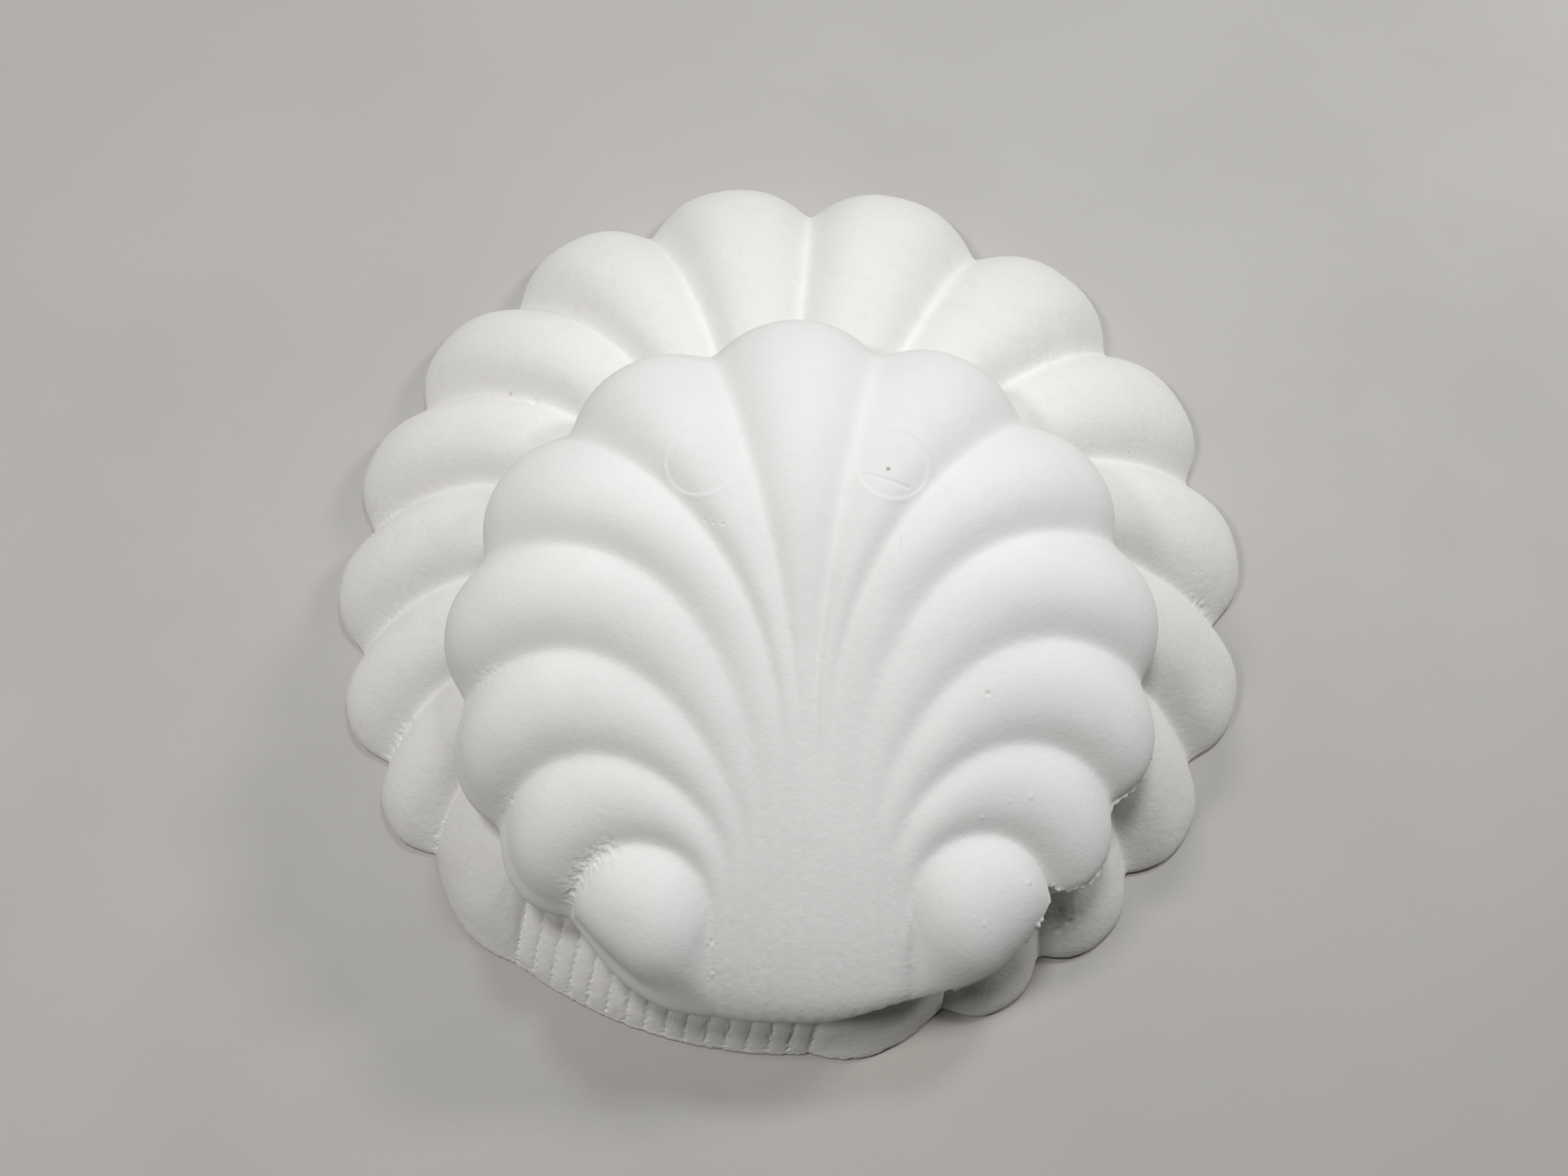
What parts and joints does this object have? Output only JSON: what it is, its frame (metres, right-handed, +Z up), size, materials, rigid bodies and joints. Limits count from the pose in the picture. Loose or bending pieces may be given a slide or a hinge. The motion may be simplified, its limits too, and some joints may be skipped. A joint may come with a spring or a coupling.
{
  "type": "plaster hump mold set",
  "caption": "Solid plaster hump molds shaped as ribbed scallop shells, a small one lying loose on a large one, for draping clay slabs into shell dishes.",
  "frame": {"origin": "on the large mold's flat back, at the centre of the circle through its rim notches", "axes": "+Z up, out of the large mold's crown; +Y along the large shell's axis, from its fluted hinge to its rear lobe; +X to its right"},
  "size_m": [0.3384, 0.3382, 0.1005],
  "materials": {
    "plaster_large": "matte",
    "plaster_small": "matte"
  },
  "bodies": {
    "large_mold": {"large_shell_mold": "plaster_large"},
    "small_mold": {"small_shell_mold": "plaster_small"}
  },
  "joints": [
    {"name": "lift_off", "type": "slide", "parent": "large_mold", "child": "small_mold", "axis": [0, 0, 1], "range_m": [0, 0.15]}
  ]
}
